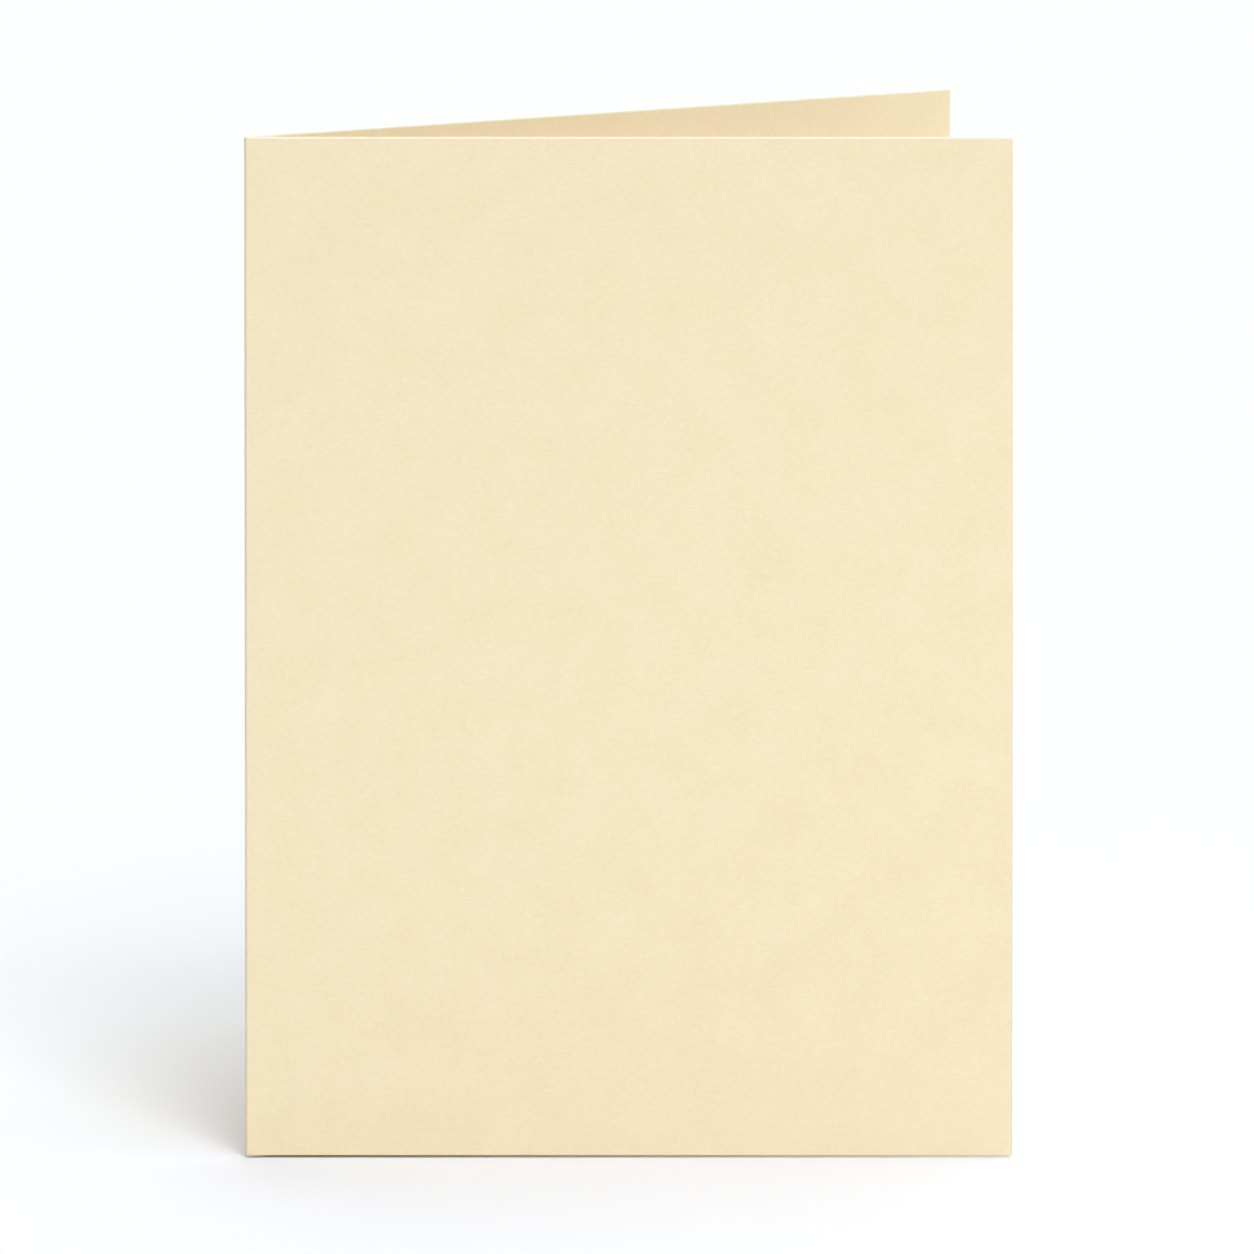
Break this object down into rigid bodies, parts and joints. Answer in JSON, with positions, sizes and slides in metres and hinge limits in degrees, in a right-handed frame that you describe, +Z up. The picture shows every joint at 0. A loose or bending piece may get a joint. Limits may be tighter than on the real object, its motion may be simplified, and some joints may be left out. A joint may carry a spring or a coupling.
{
  "type": "folded card",
  "caption": "Blank upright folded card in cream uncoated stock, with a scored fold joining a front and a back panel, standing open on its bottom cut edges.",
  "frame": {"origin": "centre of the standing card's footprint box, on the surface that it stands on", "axes": "+Z up along the fold, -Y out of the front panel's face, +X from the fold towards the free edges"},
  "size_m": [0.1174, 0.0468, 0.158],
  "materials": {
    "card_stock": "matte uncoated"
  },
  "bodies": {
    "root": {"folded_card": "card_stock"}
  },
  "joints": []
}
